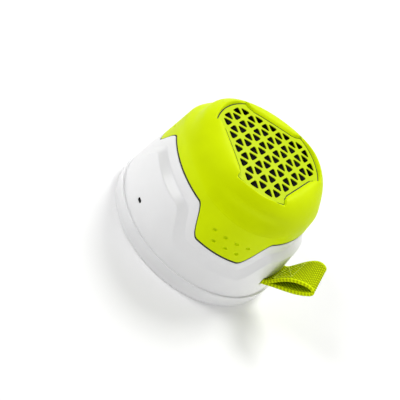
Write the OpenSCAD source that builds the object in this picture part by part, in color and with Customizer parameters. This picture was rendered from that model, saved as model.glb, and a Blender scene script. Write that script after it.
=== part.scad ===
// Shower speaker: a round white body with a lime rubber cap, an upward facing driver under a
// pierced grille, and a sewn webbing loop to hang it by.
// The origin is the middle of the face it stands on, +Z points out of the grille and +X points
// out through the webbing loop. Three lobes of the cap reach down the wall at 60, 180 and 300
// degrees; the three flat sides between them are centred on 0, 120 and 240 degrees.

/* [Grille] */
// Side of one grid triangle of the grille
pitch = 7.3; // [6.8:0.1:7.5]
// Width of the ribs between the grille holes
rib_w = 1.25; // [1:0.05:1.4]
// Radius of the solid spots where six ribs meet
node_r = 1.95; // [1.7:0.05:2.1]
// Height of the middle of the grille above the floor
grille_top_z = 59.4; // [59:0.1:59.8]
// Thickness of the grille plate
grille_t = 0.8; // [0.7:0.1:1]
// Radius of the sphere that the grille's dome follows
grille_dome_r = 281; // [240:1:400]
// Distance from the axis to each straight side of the grille
grille_flat_r = 19.8; // [19.4:0.1:20.4]
// Radius of the round ends of the grille
grille_arc_r = 26.8; // [26.2:0.1:27]

/* [Cap] */
// Radius of the crest around the grille, on a flat side
flat_crest_r = 22.7; // [22:0.1:23.4]
// Height of that crest
flat_crest_z = 59.7; // [59.3:0.1:60]
// Exponent of the curve from crest to wall, on a flat side
flat_curve = 1.61; // [1.4:0.01:2]
// Radius where that curve meets the skirt
flat_wall_r = 34.8; // [34.4:0.1:35.2]
// Height of that place
flat_wall_z = 46.8; // [45:0.1:48]
// Radius of the crest around the grille, over a lobe
lobe_crest_r = 28.7; // [28.4:0.1:29]
// Height of that crest
lobe_crest_z = 60.2; // [59.8:0.1:60.4]
// Exponent of the curve from crest to wall, over a lobe
lobe_curve = 1.26; // [1.2:0.01:1.5]
// Radius where that curve meets the skirt
lobe_wall_r = 37.1; // [36.8:0.1:37.4]
// Height of that place
lobe_wall_z = 45.5; // [44:0.1:46.5]
// Outward slope of the skirt below that curve
skirt_slope = 0.09; // [0.06:0.01:0.12]
// Height of the cap's edge on a flat side
flat_edge_z = 41.5; // [41:0.1:42]
// Height of the cap's edge at the bottom of a lobe
lobe_edge_z = 27.7; // [27:0.1:28.5]
// Wall thickness of the cap
cap_t = 2; // [1.8:0.1:2.1]

/* [Housing] */
// How far the collar just below the cap's edge stands proud of the cap
collar_proud = 0.1; // [0:0.05:0.2]
// Radius of the outer wall at its lower end
wall_r = 41.2; // [41:0.1:41.6]
// How much the wall draws in for each millimetre of height
wall_taper = 0.083; // [0.07:0.001:0.09]
// Height of the lower end of the outer wall
wall_z = 8.5; // [8.5:0.1:9]
// Height of the flat crown that carries the driver
crown_z = 50; // [49.8:0.1:50]
// Radius of the driver's hole in the crown
driver_hole_r = 23; // [22.8:0.1:23.2]

/* [Base] */
// Radius of the base cover at its foot
base_foot_r = 41.3; // [41:0.1:41.5]
// Radius of the base cover at its top edge
base_top_r = 42.15; // [42:0.05:42.4]
// Height of the base cover's top edge
base_top_z = 8.2; // [8:0.1:8.3]
// Height of the cover's underside above the floor
base_lift = 0.4; // [0.3:0.1:0.6]

/* [Webbing loop] */
// Width of the webbing
webbing_w = 19; // [18:0.5:20]
// Thickness of one layer of webbing
webbing_t = 1.5; // [1.3:0.1:1.6]
// Height of the slot that the webbing comes out of
slot_z = 17.9; // [17.5:0.1:18.2]

/* [Controls] */
// Diameter of each button
button_d = 8; // [7:0.1:8.2]
// Height of the buttons above the floor
button_z = 26; // [25.5:0.1:26.2]
// Angle between neighbouring buttons
button_step = 16.5; // [16:0.5:17]
// Middle height of the charging socket
socket_z = 15.8; // [15.8:0.1:15.9]

/* [Hidden] */
$fn = 96;

lobe_angles = [60, 180, 300];
flat_angles = [0, 120, 240];
back_angle = 120;
mic_angle = 240;
// Angles of the mesh columns, counted from the middle of a flat side to the middle of a lobe
half_steps = [7, 14, 20, 23, 25.5, 27, 29.5, 31.5, 33.5, 36, 38.5, 41, 44.5, 49, 54.5];
sector_steps = concat([for (i = [len(half_steps) - 1:-1:0]) -half_steps[i]], [0], half_steps, [60]);
columns = [for (a = flat_angles) for (s = sector_steps) a + s];
edge_gap = 0.35;
cap_fit = 0.15;

// ---- Shape of the outer surfaces ------------------------------------------------------------

// Angle from the middle of the nearest flat side, 0 to 60
function from_flat(a) = abs((a + 60 + 360) % 120 - 60);

// 0 on a flat side, 1 over a lobe
function lobe_share(a) =
    let (c = (1 - cos(3 * from_flat(a))) / 2, up = pow(c, 1.08), down = pow(1 - c, 1.08)) up / (up + down);

function smooth(x) = let (t = min(1, max(0, x))) t * t * (3 - 2 * t);
function mix(a, b, t) = a + (b - a) * t;

// A height that is low under each lobe and high on each flat side, changing from half_low to half_high
// degrees from the middle of the lobe
function stepped_z(a, low, high, half_low, half_high) =
    mix(low, high, smooth((60 - from_flat(a) - half_low) / (half_high - half_low)));
function cap_edge_z(a) = stepped_z(a, lobe_edge_z, flat_edge_z, 15.5, 32.5);
function collar_foot_z(a) = stepped_z(a, lobe_edge_z - 4, flat_edge_z - 6, 19.6, 36.5);
function chamfer_foot_z(a) = stepped_z(a, lobe_edge_z - 9, flat_edge_z - 9.5, 23.4, 40.3);
function wall_r_at(z) = wall_r - wall_taper * (z - wall_z);

// One point of a curve from crest (t = 0) to wall (t = 90)
function crest_curve(t, cr, cz, n, wr, wz) =
    [cr + (wr - cr) * pow(sin(t), 2 / n), wz + (cz - wz) * pow(cos(t), 2 / n)];

// The same point on the cap at angle a; inset moves it to the cap's inner side
function cap_crown(a, t, inset) =
    let (
        flat_p = crest_curve(t, flat_crest_r - inset / 2, flat_crest_z - 1.2 * inset, flat_curve,
                             flat_wall_r - inset, flat_wall_z),
        lobe_p = crest_curve(t, lobe_crest_r - inset / 2, lobe_crest_z - 1.2 * inset, lobe_curve,
                             lobe_wall_r - inset, lobe_wall_z)
    ) mix(flat_p, lobe_p, lobe_share(a));

// A point on the skirt, a share s of the way from the crown's foot to height z
function cap_skirt(a, s, z, inset) =
    let (top = cap_crown(a, 90, inset), low = mix(top[1], z, s)) [top[0] + skirt_slope * (top[1] - low), low];

// Distance from the axis to the grille's outline at angle a
function grille_outline_r(a) =
    let (d = from_flat(a))
    d <= 27 ? grille_flat_r / cos(d)
    : d < 31.5 ? mix(grille_flat_r / cos(27), 24.1, (d - 27) / 4.5)
    : d < 33.5 ? mix(24.1, grille_arc_r, (d - 31.5) / 2)
    : grille_arc_r;
function dome_z(r) = grille_top_z - grille_dome_r + sqrt(grille_dome_r * grille_dome_r - r * r);

// ---- Mesh helpers -----------------------------------------------------------------------------

function ring_point(a, q) = [q[0] * cos(a), q[0] * sin(a), q[1]];
function quad(p, q, r, s) = [[p, q, r], [p, r, s]];

// Sections standing in columns around the axis; closed_loop joins each section's end to its start
module round_mesh(sections, closed_loop) {
    rows = len(sections[0]);
    cols = len(columns);
    last = closed_loop ? rows - 1 : rows - 2;
    points = [for (c = [0:cols - 1]) for (q = sections[c]) ring_point(columns[c], q)];
    sides = [
        for (c = [0:cols - 1]) for (r = [0:last])
        let (n = (c + 1) % cols, u = (r + 1) % rows)
        each quad(c * rows + r, c * rows + u, n * rows + u, n * rows + r)
    ];
    foot = [0, 0, sections[0][0][1]];
    head = [0, 0, sections[0][rows - 1][1]];
    lids = closed_loop ? [] : [
        for (c = [0:cols - 1])
        let (n = (c + 1) % cols)
        each [[cols * rows, c * rows, n * rows], [cols * rows + 1, n * rows + rows - 1, c * rows + rows - 1]]
    ];
    polyhedron(points = closed_loop ? points : concat(points, [foot, head]), faces = concat(sides, lids));
}

module ring(r_in, r_out, z_low, z_high) {
    translate([0, 0, z_low])
        difference() {
            cylinder(r = r_out, h = z_high - z_low);
            translate([0, 0, -1])
                cylinder(r = r_in, h = z_high - z_low + 2);
        }
}

module rod(r, z_low, z_high) {
    translate([0, 0, z_low])
        cylinder(r = r, h = z_high - z_low);
}

module at_angles(angles, r) {
    for (a = angles)
        rotate([0, 0, a])
            translate([r, 0, 0])
                children();
}

// A rod along the radius at angle a and height z, from radius r_low to r_high
module radial_rod(a, z, r, r_low, r_high) {
    rotate([0, 0, a])
        translate([r_low, 0, z])
            rotate([0, 90, 0])
                cylinder(r = r, h = r_high - r_low, $fn = 48);
}

// A box in the frame of angle a: x outward, y sideways
module local_box(a, low, high) {
    rotate([0, 0, a])
        translate(low)
            cube(high - low);
}

// A thin round lead through the given points, which lie on one another's way up
module lead(route, r) {
    sides = 8;
    n = len(route);
    points = [
        for (p = route) for (k = [0:sides - 1])
        [p[0] + r * cos(k * 360 / sides), p[1] + r * sin(k * 360 / sides), p[2]]
    ];
    walls = [
        for (i = [0:n - 2]) for (k = [0:sides - 1])
        let (m = (k + 1) % sides)
        each quad(sides * i + k, sides * i + sides + k, sides * i + sides + m, sides * i + m)
    ];
    ends = [
        for (k = [1:sides - 2])
        each [[0, k, k + 1], [sides * n - sides, sides * n - sides + k + 1, sides * n - sides + k]]
    ];
    polyhedron(points = points, faces = concat(walls, ends));
}

// ---- Housing ------------------------------------------------------------------------------------

inner_r = 38.2;
mid_r = 34.2;
upper_r = 30.2;
boss_ring_r = 34.5;
carrier_boss_r = 27.6;
carrier_boss_angles = [for (a = lobe_angles) a + 22];
driver_boss_r = 28.6;
bar_x = 31;
bar_r = 1.5;

// The collar carries on the line of the cap's skirt
function collar_point(a, z) = cap_skirt(a, 1, z, 0) + [collar_proud, 0];

function housing_section(a) = let (edge = cap_edge_z(a) - edge_gap, inset = cap_t + cap_fit) concat(
    [
        [wall_r_at(wall_z), wall_z],
        [wall_r_at(chamfer_foot_z(a)), chamfer_foot_z(a)],
        collar_point(a, collar_foot_z(a)),
        collar_point(a, edge),
        cap_skirt(a, 1, edge, inset)
    ],
    [for (s = [0.5, 0]) cap_skirt(a, s, edge, inset)],
    [for (t = [75, 60, 48, 38]) let (p = cap_crown(a, t, inset)) [p[0], min(p[1], crown_z)]],
    [[25, crown_z]]
);

module housing_cavity() {
    rotate_extrude()
        polygon([
            [0, wall_z - 1], [inner_r - 1.6, wall_z - 1], [inner_r - 1.6, 9.5], [inner_r, 11], [inner_r, 15],
            [mid_r, 19.5], [mid_r, 37], [upper_r, 41], [upper_r, 46.5], [driver_hole_r, 47.2],
            [driver_hole_r, crown_z + 1], [0, crown_z + 1]
        ]);
}

module housing_bosses() {
    at_angles(lobe_angles, boss_ring_r)
        rod(3.8, 3, 15);
    at_angles(lobe_angles, driver_boss_r)
        rod(2.6, 43, 47.5);
    at_angles(carrier_boss_angles, carrier_boss_r)
        rod(2, 45, crown_z + 3.7);
    for (side = [-1, 1]) {
        // ears that hold the webbing bar
        local_box(0, [28.5, side * 11.8 - 1.5, 15.4], [36.4, side * 11.8 + 1.5, 20.4]);
        // ribs that hold the button board
        local_box(back_angle + side * 27, [29, -1, 20.5], [34.6, 1, 31.5]);
    }
}

module housing_cuts() {
    // screw holes: base cover, driver, grille carrier
    at_angles(lobe_angles, boss_ring_r)
        rod(1.2, 2, 11);
    at_angles(lobe_angles, driver_boss_r)
        rod(0.9, 44, crown_z + 1);
    at_angles(carrier_boss_angles, carrier_boss_r)
        rod(0.8, 48, crown_z + 5);
    // seal groove in the spigot
    ring(37.6, 39, 6.2, 7.6);
    // webbing slot and the room around the bar
    local_box(0, [34, -webbing_w / 2 - 0.5, slot_z - 2], [43, webbing_w / 2 + 0.5, slot_z + 2.6]);
    local_box(0, [27, -10.3, 14.2], [34.9, 10.3, 21.6]);
    translate([bar_x, 14, slot_z])
        rotate([90, 0, 0])
            cylinder(r = bar_r + 0.05, h = 28, $fn = 48);
    // buttons
    for (k = [-1:1]) {
        radial_rod(back_angle + k * button_step, button_z, button_d / 2 + 0.3, 36.8, 43);
        radial_rod(back_angle + k * button_step, button_z, 1.75, 32, 38);
    }
    // charging port
    local_box(back_angle, [38.4, -7.2, socket_z - 4.6], [43, 7, socket_z + 4.6]);
    local_box(back_angle, [33, -4.9, socket_z - 2], [39, 4.9, socket_z + 2]);
    rotate([0, 0, back_angle])
        translate([hinge_x, hinge_y, 0])
            rod(hinge_pin_r + 0.03, socket_z - 6.4, socket_z + 6.4);
    // microphone
    radial_rod(mic_angle, 15.6, 3.55, 33, 39);
    for (side = [-1, 1])
        rotate([0, 0, mic_angle])
            translate([0, side * 0.5, 0])
                radial_rod(0, 15.6, 0.75, 38, 43);
    local_box(mic_angle, [38, -0.5, 14.85], [43, 0.5, 16.35]);
}

module housing_shell() {
    color("whitesmoke")
        difference() {
            union() {
                difference() {
                    round_mesh([for (a = columns) housing_section(a)], false);
                    housing_cavity();
                }
                ring(inner_r - 1.6, 38.6, 5.2, wall_z + 0.5);
                housing_bosses();
            }
            housing_cuts();
        }
}

// ---- Cap and grille --------------------------------------------------------------------------------

lip_gap = 0.35;
lip_foot_z = 56.7;

function cap_section(a) = let (
    edge = cap_edge_z(a),
    lip_r = grille_outline_r(a) + lip_gap,
    crest = cap_crown(a, 0, 0)
) concat(
    [for (s = [1, 0.5, 0]) cap_skirt(a, s, edge, 0)],
    [for (t = [78, 66, 54, 43, 33, 24, 15, 7, 0]) cap_crown(a, t, 0)],
    [[mix(crest[0], lip_r, 0.6), mix(crest[1], dome_z(lip_r), 0.35)]],
    [[lip_r, dome_z(lip_r)], [lip_r, lip_foot_z]],
    [for (t = [12, 26, 40, 56, 72]) let (p = cap_crown(a, t, cap_t)) [p[0], min(p[1], lip_foot_z)]],
    [for (s = [0, 0.5, 1]) cap_skirt(a, s, edge, cap_t)]
);

module grip_cap() {
    color([0.8, 0.92, 0.05])
        round_mesh([for (a = columns) cap_section(a)], true);
}

module grille_outline(inset) {
    polygon([for (a = columns) let (r = grille_outline_r(a) - inset) [r * cos(a), r * sin(a)]]);
}

// A hole fills one triangle of the grid: ribs bound its sides, and a round spot bites each corner off
module grille_hole() {
    bite = asin(rib_w / 2 / node_r);
    corner = pitch / sqrt(3);
    polygon([
        for (k = [0:2]) for (b = [30 - bite, 0, bite - 30])
        [
            corner * cos(120 * k) - node_r * cos(120 * k + b),
            corner * sin(120 * k) - node_r * sin(120 * k + b)
        ]
    ]);
}

function flat_distance(p) = max([for (a = flat_angles) p[0] * cos(a) + p[1] * sin(a)]);
function hole_fits(p) = norm(p) < 3.4 * pitch && flat_distance(p) < 2.4 * pitch;

module grille_holes() {
    row_dir = [cos(30), sin(30)] * pitch;
    col_dir = [0, 1] * pitch;
    for (i = [-6:6])
        for (j = [-6:6])
            for (up = [0, 1]) {
                centre = i * row_dir + j * col_dir + (row_dir + col_dir) * (up + 1) / 3;
                if (hole_fits(centre))
                    translate(centre)
                        rotate([0, 0, up * 180 + 240])
                            grille_hole();
            }
}

module rod_36(r, z_low, z_high) {
    translate([0, 0, z_low])
        cylinder(r = r, h = z_high - z_low, $fn = 36);
}

module grille_panel() {
    rim_w = 1.6;
    color([0.78, 0.9, 0.05])
        intersection() {
            hull()
                for (r = [7:7:28])
                    rod_36(r, 55, dome_z(r));
            union() {
                translate([0, 0, grille_top_z - grille_t - 0.9])
                    linear_extrude(height = 3)
                        difference() {
                            grille_outline(0);
                            grille_holes();
                        }
                translate([0, 0, 56.4])
                    linear_extrude(height = 2)
                        difference() {
                            grille_outline(0);
                            grille_outline(rim_w);
                        }
            }
        }
}

// Screw heads of the carrier and the height of the seats they are sunk into
carrier_head_r = 1.35;
carrier_seat_z = 54.3;

module grille_carrier() {
    color("dimgray")
        difference() {
            union() {
                translate([0, 0, 53.8])
                    linear_extrude(height = 1.2)
                        difference() {
                            circle(r = 25.3);
                            grille_outline(3);
                        }
                translate([0, 0, 55])
                    linear_extrude(height = 1.4)
                        difference() {
                            grille_outline(0.1);
                            grille_outline(1.5);
                        }
                at_angles(carrier_boss_angles, carrier_boss_r)
                    rod(2, 53.8, 55);
                at_angles(carrier_boss_angles, 25)
                    translate([0, -1.5, 53.8])
                        cube([2, 3, 1.2]);
            }
            at_angles(carrier_boss_angles, carrier_boss_r) {
                rod(0.95, 53, 56);
                rod(carrier_head_r + 0.15, carrier_seat_z, 57);
            }
        }
}

module carrier_screws() {
    color("silver")
        at_angles(carrier_boss_angles, carrier_boss_r)
            screw(0.8, carrier_head_r, 49, carrier_seat_z, 0.9);
}

// A round-headed screw along Z with a cross recess: thread below head_z, head above it
module screw(thread_r, head_r, z_low, head_z, head_h) {
    difference() {
        union() {
            rod(thread_r, z_low, head_z);
            rod(head_r, head_z, head_z + head_h);
        }
        for (turn = [0, 90])
            rotate([0, 0, turn])
                translate([-head_r * 0.6, -0.2, head_z + head_h * 0.5])
                    cube([head_r * 1.2, 0.4, head_h]);
    }
}

module acoustic_membrane() {
    color([0.08, 0.08, 0.08])
        translate([0, 0, 55])
            linear_extrude(height = 0.3)
                grille_outline(1.6);
}

// ---- Base --------------------------------------------------------------------------------------------

post_r = 26;
floor_z = 2.8;

module base_cover() {
    round = 1.2;
    color("gainsboro")
        difference() {
            union() {
                rotate_extrude()
                    polygon(concat(
                        [[0, base_lift]],
                        [for (t = [0:15:75])
                            [base_foot_r - round + round * sin(t), base_lift + round - round * cos(t)]],
                        [[base_foot_r + 0.05, base_lift + round], [base_top_r, base_top_z - 0.7],
                         [base_top_r - 0.15, base_top_z - 0.25], [base_top_r - 0.6, base_top_z],
                         [38.75, base_top_z], [38.75, floor_z], [0, floor_z]]
                    ));
                at_angles(lobe_angles, post_r)
                    rod(2.2, floor_z - 0.5, 12.6);
            }
            ring(37.4, 40, base_lift - 1, 1.2);
            at_angles(lobe_angles, boss_ring_r) {
                rod(2.5, base_lift - 1, 1.7);
                rod(1.35, 1, 4);
            }
            at_angles(lobe_angles, post_r)
                rod(0.8, 7, 13);
        }
}

module foot_ring() {
    color("dimgray")
        ring(37.5, 39.9, 0, 1.2);
}

module seal_ring() {
    color([0.2, 0.2, 0.2])
        ring(37.6, 38.75, 6.25, 7.55);
}

module base_screws() {
    color("silver")
        at_angles(lobe_angles, boss_ring_r)
            mirror([0, 0, 1])
                screw(1.2, 2.2, -10, -1.7, 1.2);
}

// ---- Webbing loop ----------------------------------------------------------------------------------------

// Middle line of the webbing in the XZ plane: out through the slot along the lower layer, round the
// far end, back along the upper layer and round the bar inside
webbing_route = concat(
    [
        [35.2, slot_z - 0.8], [37.5, slot_z - 0.8], [40.2, slot_z + 0.3], [43, slot_z + 2.6],
        [46.6, slot_z + 5.6], [50.3, slot_z + 8.8], [53.3, slot_z + 11.8], [55.6, slot_z + 14.5],
        [56.7, slot_z + 16.3], [56.4, slot_z + 17.6], [55, slot_z + 18], [52.8, slot_z + 17.4],
        [50.3, slot_z + 15.8], [47.6, slot_z + 13.3], [45.2, slot_z + 10], [43.1, slot_z + 6],
        [41.4, slot_z + 2.6], [39.8, slot_z + 1.1], [37.5, slot_z + 0.8], [35.2, slot_z + 0.8]
    ],
    [for (a = [30:30:330]) [bar_x, slot_z] + (bar_r + 0.05 + webbing_t / 2) * [cos(a), sin(a)]]
);
// How far the loop's outer end leans towards -Y, for each millimetre across the webbing
webbing_skew = 0.16;

function leave_x(x) = smooth((x - 41) / 14);
function side_vector(pts, i) = let (
    n = len(pts),
    t = pts[(i + 1) % n] - pts[(i + n - 1) % n]
) [-t[1], t[0]] / norm(t);
function webbing_point(p, y) = [p[0] - webbing_skew * y * leave_x(p[0]), y, p[1]];

module webbing_loop() {
    n = len(webbing_route);
    half = webbing_w / 2;
    points = [
        for (i = [0:n - 1])
        let (p = webbing_route[i], off = side_vector(webbing_route, i) * webbing_t / 2)
        each [
            webbing_point(p + off, -half), webbing_point(p - off, -half),
            webbing_point(p - off, half), webbing_point(p + off, half)
        ]
    ];
    sides = [
        for (i = [0:n - 1]) for (k = [0:3])
        let (m = (k + 1) % 4, j = (i + 1) % n)
        each quad(4 * i + k, 4 * j + k, 4 * j + m, 4 * i + m)
    ];
    color([0.65, 0.75, 0.05])
        polyhedron(points = points, faces = sides);
}

module webbing_bar() {
    color("silver")
        translate([bar_x, 13.3, slot_z])
            rotate([90, 0, 0])
                cylinder(r = bar_r, h = 26.6, $fn = 48);
}

// ---- Driver ---------------------------------------------------------------------------------------------------

flange_r = 24.9;
flange_t = 1.2;

module driver_basket() {
    color("darkslategray")
        difference() {
            union() {
                rotate_extrude()
                    polygon([
                        [22.5, crown_z + flange_t], [flange_r, crown_z + flange_t], [flange_r, crown_z],
                        [22.7, crown_z], [16.6, 38], [8.2, 38], [8.2, 39], [13, 39], [13, 40.6],
                        [14.6, 40.6], [16, 39], [21.2, 48.4]
                    ]);
                at_angles(lobe_angles, driver_boss_r)
                    rod(2.4, crown_z, crown_z + flange_t);
                at_angles(lobe_angles, flange_r - 1)
                    translate([0, -2.4, crown_z])
                        cube([driver_boss_r - flange_r + 1, 4.8, flange_t]);
            }
            at_angles(lobe_angles, driver_boss_r)
                rod(1.1, crown_z - 1, crown_z + flange_t + 1);
            // windows between the spokes
            at_angles([30, 90, 150, 210, 270, 330], 14)
                translate([0, -4, 41.5])
                    cube([9, 8, 5.5]);
        }
}

module driver_gasket() {
    color([0.15, 0.15, 0.15])
        ring(23.1, flange_r, crown_z + flange_t, 53.8);
}

module driver_screws() {
    color("silver")
        at_angles(lobe_angles, driver_boss_r)
            screw(0.9, 1.8, 45, crown_z + flange_t, 1.2);
}

module magnet_top_plate() {
    color("silver")
        ring(8, 16, 36, 38);
}

module driver_magnet() {
    color([0.3, 0.3, 0.32])
        ring(9.5, 16.5, 31, 36);
}

module magnet_back_plate() {
    color("silver") {
        rod(16, 28.5, 31);
        rod(5.9, 31, 38);
    }
}

// Half-round roll between the cone and the basket
module surround() {
    roll_r = 1.05;
    roll_mid_r = 21.35;
    skin = 0.35;
    color([0.1, 0.1, 0.1])
        rotate_extrude()
            polygon(concat(
                [[22.95, 51.3], [22.95, 51.6]],
                [for (t = [0:20:180]) [roll_mid_r + roll_r * cos(t), 51.5 + roll_r * sin(t)]],
                [[19.6, 51.5], [19.6, 51.2]],
                [for (t = [180:-20:0])
                    [roll_mid_r + (roll_r - skin) * cos(t), 51.35 + (roll_r - skin) * sin(t)]]
            ));
}

module speaker_cone() {
    color([0.2, 0.2, 0.22])
        rotate_extrude()
            polygon([[20.3, 51.2], [19.4, 51.2], [7.25, 45], [7.25, 44.3], [19.6, 50.6], [20.3, 50.6]]);
}

module dust_cap() {
    cap_r = 8;
    color([0.15, 0.15, 0.16])
        rotate_extrude()
            polygon(concat(
                [for (t = [0:15:90]) [cap_r * cos(t), 45.4 + 2.6 * sin(t)]],
                [for (t = [90:-15:0]) [(cap_r - 0.4) * cos(t), 45.4 + 2.2 * sin(t)]]
            ));
}

module voice_coil() {
    color([0.7, 0.4, 0.2])
        ring(6.5, 7.2, 34.5, 45.4);
}

module spider() {
    color([0.75, 0.6, 0.3])
        rotate_extrude()
            polygon([
                [7.3, 41.2], [8.6, 41.9], [10, 41.2], [11.4, 41.9], [12.8, 41.1], [14.4, 41.1],
                [14.4, 40.8], [12.7, 40.8], [11.4, 41.5], [10, 40.8], [8.6, 41.5], [7.3, 40.8]
            ]);
}

// ---- Electronics --------------------------------------------------------------------------------------------------

board_z = 12.6;
board_top_z = 14.2;
switch_r = 30.4;

module battery_cell() {
    color([0.55, 0.6, 0.65])
        translate([0, 0, 3.8])
            linear_extrude(height = 7.5)
                rounded_plate(46, 34, 2);
}

module rounded_plate(x, y, r) {
    hull()
        for (sx = [-1, 1], sy = [-1, 1])
            translate([sx * (x / 2 - r), sy * (y / 2 - r)])
                circle(r = r, $fn = 32);
}

module battery_pad() {
    color("dimgray")
        translate([-21, -15, floor_z])
            cube([42, 30, 1]);
}

module main_board() {
    color("darkgreen")
        difference() {
            union() {
                rod(29.5, board_z, board_top_z);
                local_box(back_angle, [25, -6.5, board_z], [35.8, 6.5, board_top_z]);
            }
            at_angles(lobe_angles, post_r)
                rod(1, board_z - 1, board_top_z + 1);
        }
}

module board_screws() {
    color("silver")
        at_angles(lobe_angles, post_r)
            screw(0.8, 1.7, 8, board_top_z, 1);
}

module board_components() {
    color([0.1, 0.1, 0.12]) {
        for (k = [[8, 6, 6, 6, 1], [-12, 10, 5, 4, 1.2], [-20, -2, 4, 4, 2.2], [14, -6, 4, 3, 1.1]])
            translate([k[0], k[1], board_top_z])
                cube([k[2], k[3], k[4]]);
    }
    color("silver")
        for (p = [[-4, 14], [2, 15], [17, 3]])
            translate([p[0], p[1], board_top_z])
                cylinder(r = 2, h = 5, $fn = 32);
}

module wireless_module() {
    color("silver")
        translate([-8, -16, board_top_z])
            cube([15, 11, 2.3]);
}

module usb_socket() {
    color("silver")
        rotate([0, 0, back_angle])
            difference() {
                translate([30.8, -4.45, board_top_z])
                    cube([7.4, 8.9, 3.2]);
                translate([32.2, -4.1, board_top_z + 0.35])
                    cube([7, 8.2, 2.5]);
            }
}

module button_board() {
    color("darkgreen")
        rotate([0, 0, back_angle - 23.5])
            rotate_extrude(angle = 47)
                translate([29.2, 20.8])
                    square([1, 10.4]);
}

module tact_switches() {
    color([0.1, 0.1, 0.1])
        for (k = [-1:1]) {
            a = back_angle + k * button_step;
            local_box(a, [switch_r, -2.25, button_z - 2.25], [switch_r + 1.5, 2.25, button_z + 2.25]);
            radial_rod(a, button_z, 1, switch_r + 1, 32.4);
        }
}

// ---- Moving controls ---------------------------------------------------------------------------------------------------

hinge_x = 39.75;
hinge_y = -6.1;
hinge_pin_r = 0.5;

// A round button with a stem through the wall and a collar that keeps it in
module button(a) {
    radial_rod(a, button_z, button_d / 2, 37.6, 39.9);
    rotate([0, 0, a])
        translate([39.9, 0, button_z])
            rotate([0, 90, 0])
                cylinder(r1 = button_d / 2, r2 = button_d / 2 - 0.5, h = 0.5, $fn = 48);
    radial_rod(a, button_z, 1.5, 33.1, 37.7);
    radial_rod(a, button_z, 2.4, 33.1, 33.7);
}

module power_button() {
    color("whitesmoke")
        button(back_angle);
}

module volume_up_button() {
    color("whitesmoke")
        button(back_angle - button_step);
}

module volume_down_button() {
    color("whitesmoke")
        button(back_angle + button_step);
}

module port_cover() {
    barrel_h = 7;
    color("whitesmoke")
        difference() {
            union() {
                intersection() {
                    ring(39.15, wall_r_at(socket_z) + 0.15, socket_z - 4.3, socket_z + 4.3);
                    union() {
                        local_box(back_angle, [37, -5, socket_z - 4.3], [43, 6.7, socket_z + 4.3]);
                        local_box(back_angle, [37, hinge_y, socket_z - barrel_h / 2],
                                  [43, -4, socket_z + barrel_h / 2]);
                    }
                }
                local_box(back_angle, [38.6, -4.1, socket_z - 1.3], [39.6, 4.1, socket_z + 1.3]);
                rotate([0, 0, back_angle])
                    translate([hinge_x, hinge_y, 0])
                        rod(0.9, socket_z - barrel_h / 2, socket_z + barrel_h / 2);
            }
            rotate([0, 0, back_angle])
                translate([hinge_x, hinge_y, 0])
                    rod(hinge_pin_r + 0.05, socket_z - 6, socket_z + 6);
        }
}

module port_hinge_pin() {
    color("silver")
        rotate([0, 0, back_angle])
            translate([hinge_x, hinge_y, 0])
                rod(hinge_pin_r, socket_z - 6.2, socket_z + 6.2);
}

// ---- Microphone and leads --------------------------------------------------------------------------------------------------

module microphone() {
    color("gold")
        radial_rod(mic_angle, 15.6, 2, 36.2, 38);
}

module microphone_boot() {
    color([0.15, 0.15, 0.15])
        difference() {
            radial_rod(mic_angle, 15.6, 3.5, 35, 39);
            radial_rod(mic_angle, 15.6, 2, 34, 38);
            radial_rod(mic_angle, 15.6, 0.65, 37, 40);
        }
}

module speaker_leads() {
    color("crimson")
        lead([[-11, -19, board_top_z], [-13, -22, 20], [-13, -23, 34], [-9, -19.6, 46.5]], 0.6);
    color([0.1, 0.1, 0.1])
        lead([[-8, -20, board_top_z], [-9, -24, 20], [-9, -25, 34], [-5.6, -20.8, 46.5]], 0.6);
}

module battery_leads() {
    color("crimson")
        lead([[24, -3, 8], [24.4, -3, 9], [24.4, -3, board_z]], 0.6);
    color([0.1, 0.1, 0.1])
        lead([[24, 3, 8], [24.4, 3, 9], [24.4, 3, board_z]], 0.6);
}

housing_shell();
grip_cap();
grille_panel();
grille_carrier();
carrier_screws();
acoustic_membrane();
base_cover();
foot_ring();
seal_ring();
base_screws();
webbing_loop();
webbing_bar();
driver_basket();
driver_gasket();
driver_screws();
magnet_top_plate();
driver_magnet();
magnet_back_plate();
surround();
speaker_cone();
dust_cap();
voice_coil();
spider();
battery_cell();
battery_pad();
main_board();
board_screws();
board_components();
wireless_module();
usb_socket();
button_board();
tact_switches();
power_button();
volume_up_button();
volume_down_button();
port_cover();
port_hinge_pin();
microphone();
microphone_boot();
speaker_leads();
battery_leads();
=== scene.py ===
# Looks of the shower speaker. Shapes are worked out in millimetres in the CAD model's own frame
# and scaled to metres when a mesh is made.
import math

import bmesh
import bpy
import numpy as np
from mathutils import Matrix, Vector


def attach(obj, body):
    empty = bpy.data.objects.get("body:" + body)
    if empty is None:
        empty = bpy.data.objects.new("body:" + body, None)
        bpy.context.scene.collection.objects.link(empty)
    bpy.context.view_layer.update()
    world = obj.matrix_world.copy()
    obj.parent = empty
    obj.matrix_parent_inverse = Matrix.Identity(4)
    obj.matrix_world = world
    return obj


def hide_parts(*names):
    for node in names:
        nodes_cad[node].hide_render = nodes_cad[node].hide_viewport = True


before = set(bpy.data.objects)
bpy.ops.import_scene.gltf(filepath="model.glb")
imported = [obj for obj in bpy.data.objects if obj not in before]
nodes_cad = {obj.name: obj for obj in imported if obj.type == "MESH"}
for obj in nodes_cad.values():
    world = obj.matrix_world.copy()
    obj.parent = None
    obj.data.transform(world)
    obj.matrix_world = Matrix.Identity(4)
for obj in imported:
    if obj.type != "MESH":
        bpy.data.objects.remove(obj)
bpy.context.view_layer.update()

scene = bpy.context.scene
MM = 0.001
FLATS = (0, 120, 240)
LOBES = (60, 180, 300)
CARRIER_ANGLES = (82, 202, 322)
BACK = 120
MIC_ANGLE = 240


# ---- Numbers shared with the CAD model -------------------------------------

def smooth(x):
    t = np.clip(x, 0, 1)
    return t * t * (3 - 2 * t)


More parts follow.
